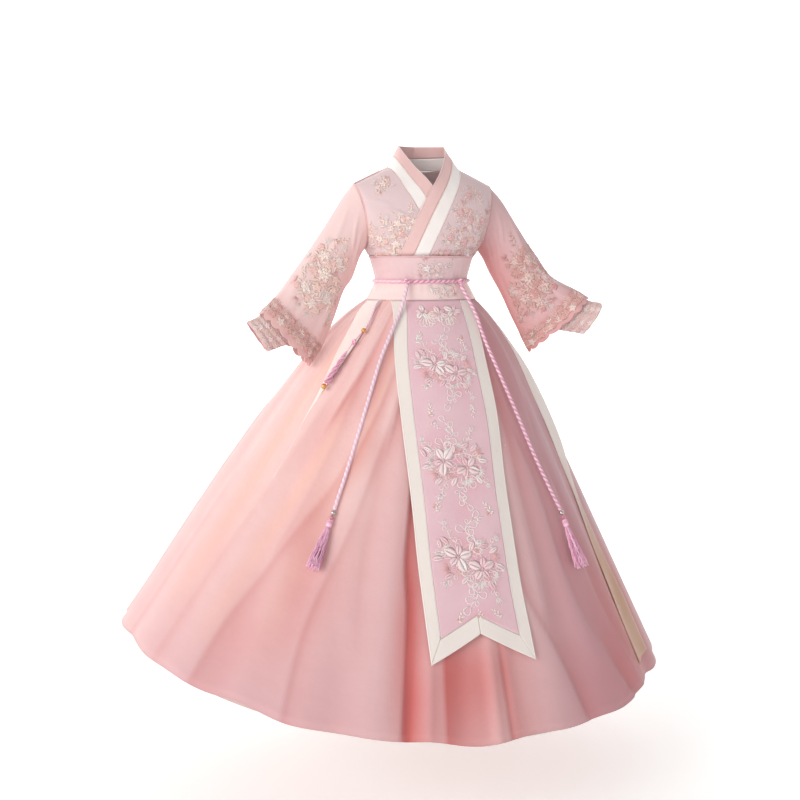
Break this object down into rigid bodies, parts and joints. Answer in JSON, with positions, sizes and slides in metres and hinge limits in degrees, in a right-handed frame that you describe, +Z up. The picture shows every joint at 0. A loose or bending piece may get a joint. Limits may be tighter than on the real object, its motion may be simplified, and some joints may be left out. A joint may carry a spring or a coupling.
{
  "type": "hanfu dress",
  "caption": "Child's crossed-collar dress in worn form: fitted top, flared sleeves, wide sash, full gathered skirt with a long swallow-tail front panel, belt cord and tassels.",
  "frame": {"origin": "middle of the line between the two shoulder points, where the wearer holds the dress up", "axes": "+Z up, the front faces -Y, the wearer's left is +X"},
  "size_m": [1.0148, 0.8231, 0.9962],
  "materials": {
    "bodice_organza": "sheer organza over satin, embroidered",
    "collar_cream": "soft satin",
    "collar_pink": "soft satin",
    "sash_satin": "smooth satin, embroidered",
    "sleeve_organza": "sheer organza, embroidered",
    "cuff_lace": "embroidered organza",
    "skirt_tulle": "soft tulle",
    "underskirt_satin": "plain lining satin",
    "panel_lace": "satin with raised embroidery",
    "border_cream": "plain woven",
    "ribbon_cream": "plain woven ribbon",
    "cord_twist": "twisted cord",
    "tassel_pink": "loose silky threads",
    "bead_silver": "polished",
    "bead_pink": "polished",
    "bead_pearl": "pearly",
    "bead_gold": "polished"
  },
  "bodies": {
    "root": {"belt_bead_pink_left": "bead_pink", "belt_bead_pink_right": "bead_pink", "belt_bead_silver_left": "bead_silver", "belt_bead_silver_right": "bead_silver", "belt_cord": "cord_twist", "belt_end_left": "cord_twist", "belt_end_right": "cord_twist", "belt_knot_left": "cord_twist", "belt_knot_right": "cord_twist", "belt_tassel_left": "tassel_pink", "belt_tassel_right": "tassel_pink", "bodice_back": "bodice_organza", "bodice_front_left": "bodice_organza", "bodice_front_right": "bodice_organza", "collar_cream": "collar_cream", "collar_pink": "collar_pink", "panel_border_left": "border_cream", "panel_border_right": "border_cream", "panel_centre": "panel_lace", "panel_tail_left": "border_cream", "panel_tail_right": "border_cream", "pendant_bead_gold_low": "bead_gold", "pendant_bead_gold_top": "bead_gold", "pendant_bead_pearl": "bead_pearl", "pendant_cord": "cord_twist", "pendant_knot": "tassel_pink", "pendant_tassel": "tassel_pink", "side_ribbon_left": "ribbon_cream", "side_ribbon_right": "ribbon_cream", "skirt_outer": "skirt_tulle", "skirt_under": "underskirt_satin", "sleeve_left": "sleeve_organza", "sleeve_right": "sleeve_organza", "undersleeve_left": "cuff_lace", "undersleeve_right": "cuff_lace", "waistband_lower": "sash_satin", "waistband_upper": "sash_satin"}
  },
  "joints": []
}
